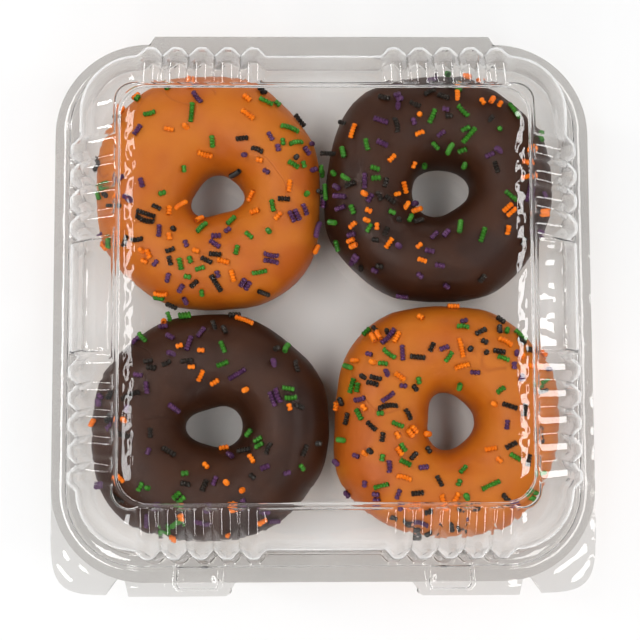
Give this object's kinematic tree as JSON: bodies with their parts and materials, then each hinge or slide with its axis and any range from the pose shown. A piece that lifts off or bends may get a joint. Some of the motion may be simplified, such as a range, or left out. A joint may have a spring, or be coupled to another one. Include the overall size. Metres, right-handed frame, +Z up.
{
  "type": "box of doughnuts",
  "caption": "Clear hinged clamshell box with fluted walls, a flat stacking lid, latch tabs and corner ears, holding iced ring doughnuts with sprinkles.",
  "frame": {"origin": "middle of the flat foot panel under the tray, on the surface the box stands on", "axes": "+Z up; +Y towards the hinge at the back; -Y towards the latch tabs at the front; +X to the right seen from the front"},
  "size_m": [0.211, 0.2205, 0.072],
  "materials": {
    "clear_plastic": "clear formed plastic sheet, glossy",
    "orange_icing": "satin orange icing",
    "chocolate_icing": "satin dark chocolate icing",
    "sprinkle_orange": "sugar sprinkle, orange",
    "sprinkle_green": "sugar sprinkle, green",
    "sprinkle_purple": "sugar sprinkle, purple",
    "sprinkle_black": "sugar sprinkle, black",
    "dough": "golden brown fried dough"
  },
  "bodies": {
    "tray": {"tray": "clear_plastic", "doughnut_back_left": "orange_icing", "doughnut_back_right": "chocolate_icing", "doughnut_front_left": "chocolate_icing", "doughnut_front_right": "orange_icing"},
    "lid": {"lid": "clear_plastic"}
  },
  "joints": [
    {"name": "lid_hinge", "type": "hinge", "parent": "tray", "child": "lid", "pos_m": [0, 0.1096, 0.01765], "axis": [-1, 0, 0], "range_deg": [0, 130]}
  ]
}
